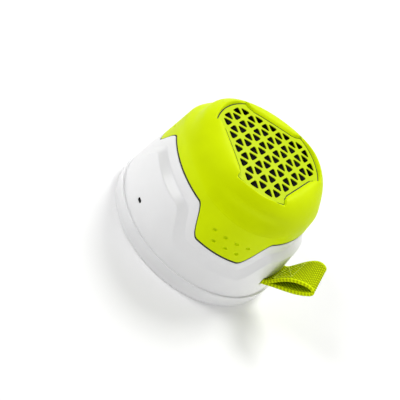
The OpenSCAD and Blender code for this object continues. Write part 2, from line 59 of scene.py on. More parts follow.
def mix(a, b, t):
    return a + (b - a) * t


def sind(a):
    return np.sin(np.radians(a))


def cosd(a):
    return np.cos(np.radians(a))


def from_flat(a):
    """Angle from the middle of the nearest flat side, 0 to 60."""
    return np.abs((np.asarray(a, float) + 420) % 120 - 60)


def lobe_share(a):
    """0 on a flat side, 1 over a lobe."""
    c = (1 - cosd(3 * from_flat(a))) / 2
    up, down = c ** 1.08, (1 - c) ** 1.08
    return up / (up + down)


def stepped_z(a, low, high, half_low, half_high):
    return mix(low, high, smooth((60 - from_flat(a) - half_low) / (half_high - half_low)))


# wall: radius at height WALL_Z, loss of radius per millimetre of height, and its lower edge
WALL_R, WALL_TAPER, WALL_Z, WALL_SEAM_Z = 41.2, 0.083, 8.5, 8.21
COLLAR_PROUD = 0.1
# cap: thickness, clearance to the housing, and the joint line under its edge
CAP_T, CAP_FIT, SEAM_W = 2.0, 0.15, 0.8
SKIRT_SLOPE = 0.09
EDGE_ROUND_R = 0.2
LIP_GAP, LIP_FOOT_Z = 0.5, 56.7
CREST_DROP = 0.8
CROWN_Z, DRIVER_HOLE_R = 50.0, 23.0
# grille: straight side's distance from the axis, the ends' radius, half angle of the straight side
GRILLE_SIDE, GRILLE_END_R, SIDE_HALF = 19.8, 26.8, 27
GRILLE_TOP_Z, GRILLE_DOME_R, GRILLE_SKIN_T = 59.4, 281.0, 0.45
PITCH, RIB_W, NODE_R = 7.3, 1.25, 1.95
SLOT_Z, WEBBING_W, WEBBING_T, BAR_X = 17.9, 19.0, 1.5, 31.0
BUTTON_Z, BUTTON_STEP, BUTTON_D = 26.0, 16.5, 8.0
SOCKET_Z = 15.8
MIC_Z, SOUND_R, SOUND_HALF = 15.6, 0.85, 0.55
HINGE_X, HINGE_Y, BARREL_H = 39.75, -6.1, 7.0
# distances from the axis of the screw bosses and of the base's posts
BASE_BOSS_R, DRIVER_BOSS_R, CARRIER_BOSS_R, BATTERY_POST_R = 34.5, 28.6, 27.6, 26


def cap_edge_z(a):
    return stepped_z(a, 27.7, 41.5, 15.5, 32.5)


def collar_foot_z(a):
    return stepped_z(a, 23.7, 35.5, 19.6, 36.5)


def chamfer_foot_z(a):
    return stepped_z(a, 18.7, 32.0, 23.4, 40.3)


def wall_r_at(z):
    return WALL_R - WALL_TAPER * (z - WALL_Z)


def crest_curve(t, cr, cz, n, wr, wz):
    s = np.clip(sind(t), 0, 1)
    c = np.clip(cosd(t), 0, 1)
    return cr + (wr - cr) * s ** (2 / n), wz + (cz - wz) * c ** (2 / n)


def cap_crown(a, t, inset):
    """r and z of the cap's surface from the crest (t = 0) to the skirt (t = 90)."""
    # crest radius and height, exponent of the curve, skirt radius and height
    flat = crest_curve(t, 22.7 - inset / 2, 59.7 - 1.2 * inset, 1.61, 34.8 - inset, 46.8)
    lobe = crest_curve(t, 28.7 - inset / 2, 60.2 - 1.2 * inset, 1.26, 37.1 - inset, 45.5)
    share = lobe_share(a)
    return mix(flat[0], lobe[0], share), mix(flat[1], lobe[1], share)


def cap_skirt(a, s, z, inset):
    top_r, top_z = cap_crown(a, 90, inset)
    low = mix(top_z, z, s)
    return top_r + SKIRT_SLOPE * (top_z - low), low


def grille_outline_r(a):
    """The panel's radius: a straight side, a slanting step out of it and a round end."""
    mid_angle, mid_r, end_angle = 31.5, 24.1, 33.5
    d = from_flat(a)
    side_r = GRILLE_SIDE / cosd(np.minimum(d, SIDE_HALF))
    inner = mix(GRILLE_SIDE / cosd(SIDE_HALF), mid_r, (d - SIDE_HALF) / (mid_angle - SIDE_HALF))
    outer = mix(mid_r, GRILLE_END_R, (d - mid_angle) / (end_angle - mid_angle))
    step = np.where(d < mid_angle, inner, outer)
    return np.where(d <= SIDE_HALF, side_r, np.where(d < end_angle, step, GRILLE_END_R))


def dome_z(r):
    return GRILLE_TOP_Z - GRILLE_DOME_R + np.sqrt(GRILLE_DOME_R ** 2 - np.asarray(r, float) ** 2)


# ---- Mesh helpers ----------------------------------------------------------

def add_object(name, mesh, body, replaced=()):
    piece = bpy.data.objects.new(name, mesh)
    scene.collection.objects.link(piece)
    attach(piece, body)
    if replaced:
        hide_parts(*replaced)
    return piece


def mesh_from(name, points, faces):
    """A mesh from points in millimetres, with its faces turned outward."""
    mesh = bpy.data.meshes.new(name)
    mesh.from_pydata((np.asarray(points, float) * MM).tolist(), [], faces)
    shell = bmesh.new()
    shell.from_mesh(mesh)
    bmesh.ops.recalc_face_normals(shell, faces=shell.faces)
    shell.to_mesh(mesh)
    shell.free()
    return mesh


def shade(mesh, sharp=35):
    mesh.shade_smooth()
    mesh.set_sharp_from_angle(angle=math.radians(sharp))


def loop_faces(cols, rows):
    """Quads of a grid of points that closes on itself both ways, as a torus does."""
    c, r = np.meshgrid(np.arange(cols), np.arange(rows), indexing="ij")
    c2, r2 = (c + 1) % cols, (r + 1) % rows
    quads = np.stack([c * rows + r, c * rows + r2, c2 * rows + r2, c2 * rows + r], axis=-1)
    return quads.reshape(-1, 4).tolist()


def ring_points(angles, r, z):
    """Points of sections r, z (columns by rows) standing round the axis."""
    a = np.asarray(angles, float)[:, None]
    return np.stack([r * cosd(a), r * sind(a), z + 0 * a], axis=-1).reshape(-1, 3)


def rounded_section(corners, steps=5):
    """Rows of a closed section. A corner is (r, z, reach): reach is how far its rounding goes."""
    width = max(np.size(c[0]) for c in corners)
    width = max(width, max(np.size(c[1]) for c in corners))
    spots = [np.stack([np.broadcast_to(np.asarray(v, float), (width,)) for v in c[:2]], -1)
             for c in corners]
    rows = []
    for i, spot in enumerate(spots):
        reach = corners[i][2]
        if reach == 0:
            rows.append(spot)
            continue
        ends = []
        for other in (spots[i - 1], spots[(i + 1) % len(spots)]):
            gap = other - spot
            length = np.linalg.norm(gap, axis=-1, keepdims=True)
            ends.append(spot + gap / length * np.minimum(reach, 0.45 * length))
        for t in np.linspace(0, 1, steps + 1):
            rows.append((1 - t) ** 2 * ends[0] + 2 * t * (1 - t) * spot + t * t * ends[1])
    return np.stack(rows, axis=1)


def lathe(name, corners, turns=192, steps=4):
    """A closed ring about Z with rounded corners, as a mesh."""
    section = rounded_section(corners, steps)[0]
    angles = np.arange(turns) * 360 / turns
    points = ring_points(angles, section[None, :, 0], section[None, :, 1])
    return mesh_from(name, points, loop_faces(turns, len(section)))


def solid_lathe(name, corners, turns=96, steps=4):
    """The same for a solid whose first and last corners are on the axis."""
    section = rounded_section(corners, steps)[0]
    inner = section[1:-1]
    rows = len(inner)
    angles = np.arange(turns) * 360 / turns
    points = ring_points(angles, inner[None, :, 0], inner[None, :, 1]).tolist()
    points += [[0, 0, section[0][1]], [0, 0, section[-1][1]]]
    faces = []
    for c in range(turns):
        n = (c + 1) % turns
        for r in range(rows - 1):
            faces.append([c * rows + r, c * rows + r + 1, n * rows + r + 1, n * rows + r])
        faces.append([turns * rows, c * rows, n * rows])
        faces.append([turns * rows + 1, n * rows + rows - 1, c * rows + rows - 1])
    return mesh_from(name, points, faces)


def outward(a, r=0, y=0, z=0):
    """Matrix that stands a piece built along +Z out of the wall at angle a: its Z points outward,
    its X sideways and its Y up."""
    turn = Matrix.Rotation(math.radians(a), 4, "Z")
    lay = Matrix(((0, 0, 1, 0), (1, 0, 0, 0), (0, 1, 0, 0), (0, 0, 0, 1)))
    return turn @ Matrix.Translation(Vector((r, y, z)) * MM) @ lay


def placed(mesh, matrix):
    mesh.transform(matrix)
    return mesh


def box_mesh(low, high, bevel=0.0):
    """A box in millimetres with its edges rounded."""
    shell = bmesh.new()
    bmesh.ops.create_cube(shell, size=1)
    low, high = Vector(low), Vector(high)
    for v in shell.verts:
        v.co = Vector([mix(low[i], high[i], v.co[i] + 0.5) for i in range(3)]) * MM
    if bevel:
        bmesh.ops.bevel(shell, geom=shell.edges[:], offset=bevel * MM, segments=3, profile=0.5,
                        affect="EDGES")
    bmesh.ops.recalc_face_normals(shell, faces=shell.faces)
    mesh = bpy.data.meshes.new("box")
    shell.to_mesh(mesh)
    shell.free()
    return mesh


def rod_mesh(r, low, high, turns=48, bevel=0.0):
    corners = [(0, low, 0), (r, low, bevel), (r, high, bevel), (0, high, 0)]
    return solid_lathe("rod", corners, turns, 3)


def at_angles(angles, r, make):
    """Copies of a mesh at distance r from the axis, one at each angle."""
    return [placed(make(), Matrix.Rotation(math.radians(a), 4, "Z") @ Matrix.Translation((r * MM, 0, 0)))
            for a in angles]


def boolean(mesh, others, operation):
    """Cuts the other meshes out of the first, or adds them, one after the other."""
    target = bpy.data.objects.new("target", mesh)
    scene.collection.objects.link(target)
    tools = []
    for i, other in enumerate(others):
        tool = bpy.data.objects.new(f"tool_{i}", other)
        scene.collection.objects.link(tool)
        change = target.modifiers.new(f"change_{i}", "BOOLEAN")
        change.operation = operation
        change.solver = "MANIFOLD"
        change.object = tool
        tools.append(tool)
    cut = target.evaluated_get(bpy.context.evaluated_depsgraph_get())
    result = bpy.data.meshes.new_from_object(cut)
    for used in tools + [target]:
        bpy.data.objects.remove(used)
    return result


# ---- Camera, light and floor -----------------------------------------------

def place_camera():
    azimuth, elevation, roll = 8.66, 36.95, 44.63
    distance, lens = 0.885, 181.0
    aim = Vector((-5.6, -8.4, 20.4)) * MM
    level = Matrix.Rotation(math.radians(azimuth), 3, "Z")
    tilt = Matrix.Rotation(math.radians(90 - elevation), 3, "X")
    turn = level @ tilt @ Matrix.Rotation(math.radians(roll), 3, "Z")
    camera = bpy.data.objects.new("camera", bpy.data.cameras.new("camera"))
    camera.data.lens = lens
    camera.data.sensor_width = 36
    camera.data.clip_start = 0.05
    camera.data.clip_end = 20
    scene.collection.objects.link(camera)
    camera.matrix_world = Matrix.Translation(aim) @ turn.to_4x4() @ Matrix.Translation((0, 0, distance))
    scene.camera = camera


def area_light(name, spot, aim, size, power):
    data = bpy.data.lights.new(name, "AREA")
    data.shape = "DISK"
    data.size = size
    data.energy = power
    lamp = bpy.data.objects.new(name, data)
    scene.collection.objects.link(lamp)
    lamp.location = spot
    lamp.rotation_euler = (Vector(aim) - Vector(spot)).to_track_quat("-Z", "Y").to_euler()


def light_scene():
    centre = (0, 0, 0.03)
    area_light("key", (-0.72, -0.5, 0.75), centre, 0.5, 5.4)
    area_light("overhead", (-0.12, 0.66, 0.9), centre, 0.5, 8.2)
    area_light("fill", (1.0, -0.1, 0.4), centre, 0.8, 3.0)
    world = bpy.data.worlds.new("studio")
    world.use_nodes = True
    world.node_tree.nodes["Background"].inputs["Color"].default_value = (1, 1, 1, 1)
    world.node_tree.nodes["Background"].inputs["Strength"].default_value = 0.26
    scene.world = world
    scene.view_settings.view_transform = "Standard"


def make_floor():
    mesh = bpy.data.meshes.new("floor")
    half = 6.0
    mesh.from_pydata([(-half, -half, 0), (half, -half, 0), (half, half, 0), (-half, half, 0)], [],
                     [(0, 1, 2, 3)])
    floor = bpy.data.objects.new("floor", mesh)
    scene.collection.objects.link(floor)
    finish = Finish("floor_paper", (0.93, 0.93, 0.93), 0.9)
    finish.specular(0.1)
    finish.shader.inputs["Emission Color"].default_value = (1, 1, 1, 1)
    finish.shader.inputs["Emission Strength"].default_value = 0.12
    mesh.materials.append(finish.material)


# ---- Materials -------------------------------------------------------------

def linear(red, green, blue):
    """Linear colour from 0 to 255 screen values."""
    return tuple(((v / 255 + 0.055) / 1.055) ** 2.4 if v > 10 else v / 3294.6 for v in (red, green, blue))


class Finish:
    """A procedural material: a Principled shader whose colour, roughness and bump vary with the
    place on the piece."""

    def __init__(self, name, color, roughness, metallic=0.0):
        self.material = bpy.data.materials.new(name)
        self.material.use_nodes = True
        self.tree = self.material.node_tree
        self.shader = self.tree.nodes["Principled BSDF"]
        self.shader.inputs["Base Color"].default_value = (*color, 1)
        self.shader.inputs["Roughness"].default_value = roughness
        self.shader.inputs["Metallic"].default_value = metallic
        self.color = color
        self.roughness = roughness
        self.place = self.node("ShaderNodeTexCoord").outputs["Object"]
        self.normal = None

    def node(self, kind, **settings):
        made = self.tree.nodes.new(kind)
        for key, value in settings.items():
            setattr(made, key, value)
        return made

    def link(self, a, b):
        self.tree.links.new(a, b)

    def specular(self, level, tint=(1, 1, 1)):
        self.shader.inputs["Specular IOR Level"].default_value = level
        self.shader.inputs["Specular Tint"].default_value = (*tint, 1)

    def noise(self, size_mm, detail=2.0, stretch=None):
        """A noise value whose spots are about size_mm across; stretch squeezes it along X, Y and Z."""
        made = self.node("ShaderNodeTexNoise")
        made.inputs["Scale"].default_value = 1 / (size_mm * MM)
        made.inputs["Detail"].default_value = detail
        place = self.place
        if stretch:
            mapping = self.node("ShaderNodeMapping")
            mapping.inputs["Scale"].default_value = stretch
            self.link(place, mapping.inputs["Vector"])
            place = mapping.outputs["Vector"]
        self.link(place, made.inputs["Vector"])
        return made.outputs["Fac"]

    def attribute(self, name):
        return self.node("ShaderNodeAttribute", attribute_name=name).outputs["Fac"]

    def ramp(self, value, low, high, at=(0.3, 0.7)):
        """Colour from low to high as value goes from at[0] to at[1]."""
        made = self.node("ShaderNodeValToRGB")
        for stop, color, position in zip(made.color_ramp.elements, (low, high), at):
            stop.color = (*color, 1)
            stop.position = position
        self.link(value, made.inputs["Fac"])
        return made.outputs["Color"]

    def blend_colors(self, value, a, b):
        made = self.node("ShaderNodeMix", data_type="RGBA", blend_type="MIX")
        for socket, entry in (("Factor", value), ("A", a), ("B", b)):
            target = [s for s in made.inputs if s.name == socket and s.enabled][0]
            if isinstance(entry, (int, float)):
                target.default_value = entry
            elif isinstance(entry, tuple):
                target.default_value = (*entry, 1)
            else:
                self.link(entry, target)
        return [s for s in made.outputs if s.enabled][0]

    def set_color(self, color):
        self.link(color, self.shader.inputs["Base Color"])

    def mottle(self, size_mm, amount, detail=3.0):
        """Lightens and darkens the colour a little."""
        low = tuple(c * (1 - amount) for c in self.color)
        high = tuple(min(1, c * (1 + amount)) for c in self.color)
        self.set_color(self.ramp(self.noise(size_mm, detail), low, high))

    def vary_roughness(self, size_mm, amount, stretch=None):
        spread = self.node("ShaderNodeMapRange")
        spread.inputs["From Min"].default_value = 0.3
        spread.inputs["From Max"].default_value = 0.7
        spread.inputs["To Min"].default_value = max(0.02, self.roughness - amount)
        spread.inputs["To Max"].default_value = min(1, self.roughness + amount)
        self.link(self.noise(size_mm, 3.0, stretch), spread.inputs["Value"])
        self.link(spread.outputs["Result"], self.shader.inputs["Roughness"])

    def bump(self, value, depth_mm, strength=1.0):
        made = self.node("ShaderNodeBump")
        made.inputs["Distance"].default_value = depth_mm * MM
        made.inputs["Strength"].default_value = strength
        self.link(value, made.inputs["Height"])
        if self.normal:
            self.link(self.normal, made.inputs["Normal"])
        self.normal = made.outputs["Normal"]
        self.link(self.normal, self.shader.inputs["Normal"])


LIME = linear(214, 236, 0)
LIME_DEEP = linear(196, 220, 0)
LIME_GLOSS = (0.95, 1.0, 0.1)
# painted shade for the gaps between the webbing's yarns
WEAVE_GAP_SHADE = linear(58, 68, 0)
WHITE = (0.86, 0.86, 0.865)


def white_plastic():
    finish = Finish("white_plastic", WHITE, 0.34)
    finish.mottle(9, 0.012)
    finish.vary_roughness(3.0, 0.05)
    finish.bump(finish.noise(0.35), 0.004, 0.5)
    finish.shader.inputs["Coat Weight"].default_value = 0.1
    finish.shader.inputs["Coat Roughness"].default_value = 0.2
    return finish


def lime_rubber():
    finish = Finish("lime_rubber", LIME, 0.55)
    finish.specular(0.16, LIME_GLOSS)
    finish.mottle(12, 0.03)
    finish.vary_roughness(2.5, 0.06)
    finish.bump(finish.noise(0.25), 0.006, 0.5)
    return finish


def lime_plastic():
    finish = Finish("lime_plastic", LIME_DEEP, 0.45)
    finish.specular(0.12, LIME_GLOSS)
    finish.mottle(10, 0.03)
    finish.vary_roughness(2.0, 0.05)
    finish.bump(finish.noise(0.3), 0.004, 0.4)
    return finish


def lime_webbing():
    """Woven yarn, with painted shade between the yarns and a painted highlight on top of them."""
    finish = Finish("lime_webbing", LIME_DEEP, 0.8)
    finish.specular(0.1, LIME_GLOSS)
    height = finish.attribute("weave")
    # The yarn height paints shade into the gaps and a highlight on the yarns' tops.
    weave = finish.ramp(height, WEAVE_GAP_SHADE, linear(226, 246, 10), (0.15, 0.8))
    finish.set_color(finish.blend_colors(0.1, weave, LIME_DEEP))
    finish.bump(finish.noise(0.12), 0.03, 0.6)
    return finish


def stitch_thread():
    finish = Finish("stitch_thread", linear(222, 240, 60), 0.6)
    finish.mottle(0.5, 0.12)
    finish.bump(finish.noise(0.15, stretch=(1, 3, 1)), 0.03, 0.8)
    return finish


def moulded(name, color, roughness, mottle=0.06, specular=0.5):
    finish = Finish(name, color, roughness)
    finish.specular(specular)
    finish.mottle(4, mottle)
    finish.vary_roughness(1.5, 0.08)
    finish.bump(finish.noise(0.3), 0.01, 0.5)
    return finish


def metal(name, color, roughness, stretch=None):
    finish = Finish(name, color, roughness, 1.0)
    finish.mottle(3, 0.06)
    finish.vary_roughness(0.8, 0.1, stretch)
    finish.bump(finish.noise(0.2, stretch=stretch), 0.006, 0.4)
    return finish


def woven(name, color, cell_mm, depth_mm):
    """A fine cloth with two crossed sets of threads, with painted shade where the threads dip."""
    finish = Finish(name, color, 0.85)
    finish.specular(0.2)
    heights = []
    for axis in ("X", "Y"):
        wave = finish.node("ShaderNodeTexWave", wave_type="BANDS", bands_direction=axis)
        wave.inputs["Scale"].default_value = 0.314 / (cell_mm * MM)
        finish.link(finish.place, wave.inputs["Vector"])
        heights.append(wave.outputs["Fac"])
    cross = finish.node("ShaderNodeMath", operation="MULTIPLY")
    finish.link(heights[0], cross.inputs[0])
    finish.link(heights[1], cross.inputs[1])
    # Painted shade: the colour darkens where the threads dip between each other.
    dark = tuple(0.4 * c for c in color)
    finish.set_color(finish.ramp(cross.outputs[0], dark, color, (0.1, 0.8)))
    finish.bump(cross.outputs[0], depth_mm, 0.8)
    return finish


def laminate():
    """Circuit board: solder mask with fine tracks under it."""
    base = linear(20, 88, 48)
    finish = Finish("board_laminate", base, 0.35)
    brick = finish.node("ShaderNodeTexBrick")
    brick.inputs["Scale"].default_value = 260
    brick.inputs["Mortar Size"].default_value = 0.035
    finish.link(finish.place, brick.inputs["Vector"])
    track = finish.ramp(brick.outputs["Fac"], base, linear(52, 130, 70), (0.4, 0.6))
    finish.set_color(finish.blend_colors(finish.noise(5), track, linear(16, 74, 40)))
    finish.bump(brick.outputs["Fac"], 0.03, 0.6)
    return finish


def make_materials():
    steel, grey = linear(196, 196, 200), linear(150, 152, 156)
    finishes = {
        "white_plastic": white_plastic(),
        "lime_rubber": lime_rubber(),
        "lime_plastic": lime_plastic(),
        "lime_webbing": lime_webbing(),
        "dark_rubber": moulded("dark_rubber", linear(38, 38, 40), 0.7, specular=0.3),
        "dark_plastic": moulded("dark_plastic", linear(30, 30, 32), 0.5),
        "membrane_cloth": woven("membrane_cloth", linear(7, 7, 7), 0.3, 0.04),
        "screw_steel": metal("screw_steel", steel, 0.28),
        "basket_metal": metal("basket_metal", linear(70, 72, 76), 0.45),
        "magnet_ceramic": moulded("magnet_ceramic", linear(60, 60, 64), 0.6, 0.15),
        "surround_rubber": moulded("surround_rubber", linear(26, 26, 27), 0.55, specular=0.4),
        "cone_paper": moulded("cone_paper", linear(48, 48, 52), 0.8, 0.2, 0.2),
        "copper_winding": metal("copper_winding", linear(200, 118, 72), 0.3, (1, 1, 12)),
        "spider_cloth": woven("spider_cloth", linear(196, 160, 92), 0.5, 0.06),
        "battery_foil": metal("battery_foil", linear(168, 174, 182), 0.4),
        "board_laminate": laminate(),
        "screen_metal": metal("screen_metal", grey, 0.32),
        "lead_sheath": moulded("lead_sheath", linear(176, 24, 24), 0.5),
        "stitch_thread": stitch_thread(),
    }
    return {name: finish.material for name, finish in finishes.items()}


# ---- Cap -------------------------------------------------------------------

def cap_angles():
    """Columns of the cap, close together at the grille's notches and over the lobes' dimples."""
    half = np.concatenate([np.arange(0, 25, 1.0), np.arange(25, 36, 0.35), np.arange(36, 42.5, 0.6),
                           np.arange(42.5, 60, 0.3)])
    sector = np.concatenate([-half[:0:-1], half, [60.0]])
    return np.concatenate([flat + sector for flat in FLATS])


DIMPLE_ROWS = ((36.95, (-11.2, -2.4, 6.4, 15.2)), (32.15, (-6.9, 2, 10.9)))
DIMPLE_W, DIMPLE_H, DIMPLE_DEPTH = 1.15, 0.8, 0.75


def dimple_depth(a, r, z):
    """How deep the small pits over each lobe go at angle a, radius r and height z."""
    depth = 0 * z
    for lobe in LOBES:
        off = (a - lobe + 180) % 360 - 180
        for row_z, offsets in DIMPLE_ROWS:
            for spot in offsets:
                across = np.radians(off - spot) * r / DIMPLE_W
                up = (z - row_z) / DIMPLE_H
                depth = np.maximum(depth, DIMPLE_DEPTH * smooth(1.25 * (1 - across ** 2 - up ** 2)))
    return depth


def waist(a, z):
    """The slight hollow that runs round the cap over each lobe, above the skirt."""
    deepest, middle_z, spread = 1.9, 50.6, 3.0
    return deepest * lobe_share(a) ** 2 * np.exp(-((z - middle_z) / spread) ** 2)


def add_seam_shade_strip(name, angles, radii, heights, materials):
    """A dark strip of painted shade that fills the bottom of a joint line round the axis, where there is
    only shadow.
    """
    corners = ((0, 0), (1, 0), (1, 1), (0, 1))
    grid = np.stack([np.concatenate([radii[i], heights[j]], axis=1) for i, j in corners], axis=1)
    mesh = mesh_from(name, ring_points(angles, grid[..., 0], grid[..., 1]), loop_faces(*grid.shape[:2]))
    shade(mesh, 40)
    mesh.materials.append(materials["dark_rubber"])
    add_object(name, mesh, "speaker_body")


def make_cap(materials):
    angles = cap_angles()
    a = angles[:, None]
    edge = cap_edge_z(a)
    lip_r = grille_outline_r(a) + LIP_GAP
    lip_z = dome_z(lip_r)
    rows = []

    def add(r, z):
        full = np.broadcast_arrays(r, z, np.zeros((len(angles), 1)))
        rows.append(np.stack(full[:2], axis=-1).reshape(len(angles), -1, 2))

    # outer skirt from the rounded edge up, then the crown up to its highest place
    edge_r = cap_skirt(a, 1, edge, 0)[0]
    turn = np.linspace(0, 90, 7)[None, :]
    add(edge_r - EDGE_ROUND_R * (1 - sind(turn)), edge + EDGE_ROUND_R * (1 - cosd(turn)))
    top_z = cap_crown(a, 90, 0)[1]
    skirt_z = mix(edge + EDGE_ROUND_R, top_z, np.linspace(0, 1, 92)[None, 1:])
    skirt_r = edge_r + SKIRT_SLOPE * (edge - skirt_z)
    add(skirt_r - dimple_depth(a, skirt_r, skirt_z), skirt_z)
    # halving steps find the place on the crown that is reach_r from the axis
    low_t, high_t = 0 * a, 0 * a + 60
    reach_r = np.maximum(cap_crown(a, 0, 0)[0], lip_r + 1.1)
    for _ in range(30):
        mid_t = (low_t + high_t) / 2
        beyond = cap_crown(a, mid_t, 0)[0] > reach_r
        high_t = np.where(beyond, mid_t, high_t)
        low_t = np.where(beyond, low_t, mid_t)
    t = mix(90, high_t, np.linspace(0, 1, 56)[None, 1:])
    crown_r, crown_z = cap_crown(a, t, 0)
    crown_z = crown_z - CREST_DROP * lobe_share(a) * smooth((crown_z - 54) / 6)
    add(crown_r - waist(a, crown_z), crown_z)
    # from the highest place down to the grille, and down the lip
    crest_r, crest_z = crown_r[:, -1:], crown_z[:, -1:]
    span, drop = crest_r - lip_r, crest_z - lip_z
    s = np.linspace(0, 1, 12)[None, 1:]
    weights = ((1 - s) ** 3, 3 * s * (1 - s) ** 2, 3 * s * s * (1 - s), s ** 3)
    pulls_r = (crest_r, crest_r - 0.5 * span, lip_r + 0.28 * span, lip_r + 0 * span)
    pulls_z = (crest_z, crest_z + 0.02 * span, lip_z + 0.62 * drop, lip_z + 0.12)
    add(sum(w * p for w, p in zip(weights, pulls_r)), sum(w * p for w, p in zip(weights, pulls_z)))
    for across, down in ((0.0, 0.12), (0.03, 0.3), (0.05, 0.7)):
        add(lip_r + 0 * a - across, lip_z - down)
    add(lip_r - 0.05, LIP_FOOT_Z + 0 * a)
    # inner side
    inner_t = np.array([[8, 16, 26, 40, 56, 72, 90]], float)
    inner_r, inner_z = cap_crown(a, inner_t, CAP_T)
    steps = lip_r + 0.25 * (1 + np.arange(inner_t.size))[None, :]
    add(np.maximum(inner_r, steps), np.minimum(inner_z, LIP_FOOT_Z))
    for share in (0.35, 0.7):
        add(*cap_skirt(a, share, edge, CAP_T))
    inner_edge_r = cap_skirt(a, 1, edge, CAP_T)[0]
    add(inner_edge_r, edge + 0.3)
    add(inner_edge_r + 0.3, edge)
    grid = np.concatenate(rows, axis=1)
    mesh = mesh_from("grip_cap_skin", ring_points(angles, grid[..., 0], grid[..., 1]),
                     loop_faces(*grid.shape[:2]))
    shade(mesh, 50)
    mesh.materials.append(materials["lime_rubber"])
    add_object("grip_cap_skin", mesh, "speaker_body", ["grip_cap"])
    # Painted shade: a dark strip in the joint under the cap's edge, where the seam is only in shadow.
    skirt_r = cap_skirt(a, 1, edge, 0)[0]
    add_seam_shade_strip("cap_seam_painted_shade", angles, (skirt_r - 1.8, skirt_r - 0.08),
             (edge - SEAM_W + 0.01, edge + 0.1), materials)
    # Painted shade: a dark strip in the gap round the grille, under the cap's lip, where there is only
    # shadow.
    hole_r = grille_outline_r(a)
    add_seam_shade_strip("grille_seam_painted_shade", angles, (hole_r - 0.6, hole_r + LIP_GAP + 0.1),
             (dome_z(hole_r) - 1.2, dome_z(hole_r) - 0.16), materials)


# ---- Housing ---------------------------------------------------------------

ROUND_STEPS = 7


def housing_ring():
    angles = np.arange(0, 360, 0.75)
    a = angles
    edge = cap_edge_z(a) - SEAM_W
    inset = CAP_T + CAP_FIT
    foot_r = cap_skirt(a, 1, collar_foot_z(a), 0)[0] + COLLAR_PROUD
    rim_r = cap_skirt(a, 1, edge, 0)[0] + COLLAR_PROUD
    corners = [
        (WALL_R, WALL_SEAM_Z, 0.03),
        (wall_r_at(chamfer_foot_z(a)), chamfer_foot_z(a), 0.6),
        (foot_r, collar_foot_z(a), 0.6),
        (rim_r, edge, 0.15),
        (rim_r - 0.45, edge, 0.05),
        (rim_r - 0.5, edge - 1, 0),
        (cap_skirt(a, 1, edge, inset)[0], edge - 1, 0),
    ]
    corners += [(*cap_skirt(a, s, edge, inset), 0) for s in (0.5, 0)]
    for t in (75, 60, 48, 38):
        r, z = cap_crown(a, t, inset)
        corners.append((r, np.minimum(z, CROWN_Z), 0))
    corners += [
        (25, CROWN_Z, 0), (DRIVER_HOLE_R, CROWN_Z, 0.3), (DRIVER_HOLE_R, 47.2, 0), (30.2, 46.5, 0),
        (30.2, 41, 0), (34.2, 37, 0), (34.2, 19.5, 0), (38.2, 15, 0), (38.2, 11, 0), (36.6, 9.5, 0),
        (36.6, 5.2, 0.2), (38.6, 5.2, 0.3), (38.6, 6.2, 0), (37.6, 6.2, 0), (37.6, 7.6, 0),
        (38.6, 7.6, 0), (38.6, WALL_SEAM_Z, 0)
    ]
    section = with_wall_rows(rounded_section(corners, ROUND_STEPS))
    return mesh_from("housing_skin", ring_points(angles, section[..., 0], section[..., 1]),
                     loop_faces(*section.shape[:2]))


def with_wall_rows(section):
    """Extra rows along the tall outer wall, between its bottom edge and the chamfer."""
    first = ROUND_STEPS
    low, high = section[:, first:first + 1], section[:, first + 1:first + 2]
    extra = mix(low, high, np.linspace(0, 1, 14)[None, 1:-1, None])
    return np.concatenate([section[:, :first + 1], extra, section[:, first + 1:]], axis=1)


def flared_rod(r, low, wall, flare):
    """A cutter whose mouth opens out at the wall, so that the edge it leaves is rounded."""
    corners = [(0, low, 0), (r, low, 0), (r, wall - flare, 0)]
    corners += [(r + flare * (1 - cosd(t)), wall - flare + flare * sind(t), 0) for t in (20, 40, 60, 80)]
    corners += [(r + 1.3 * flare, wall + 2, 0), (0, wall + 2, 0)]
    return solid_lathe("cutter", corners, 64)


def housing_bosses():
    bosses = at_angles(LOBES, BASE_BOSS_R, lambda: rod_mesh(3.8, 3, 15, bevel=0.3))
    bosses += at_angles(LOBES, DRIVER_BOSS_R, lambda: rod_mesh(2.6, 43, 47.5, bevel=0.3))
    bosses += at_angles(CARRIER_ANGLES, CARRIER_BOSS_R, lambda: rod_mesh(2, 45, CROWN_Z + 3.7, bevel=0.2))
    for side in (-1, 1):
        bosses.append(box_mesh((28.5, side * 11.8 - 1.5, 15.4), (36.4, side * 11.8 + 1.5, 20.4), 0.3))
        rib = box_mesh((29, -1, 20.5), (34.6, 1, 31.5), 0.2)
        bosses.append(placed(rib, Matrix.Rotation(math.radians(BACK + side * 27), 4, "Z")))
    return bosses


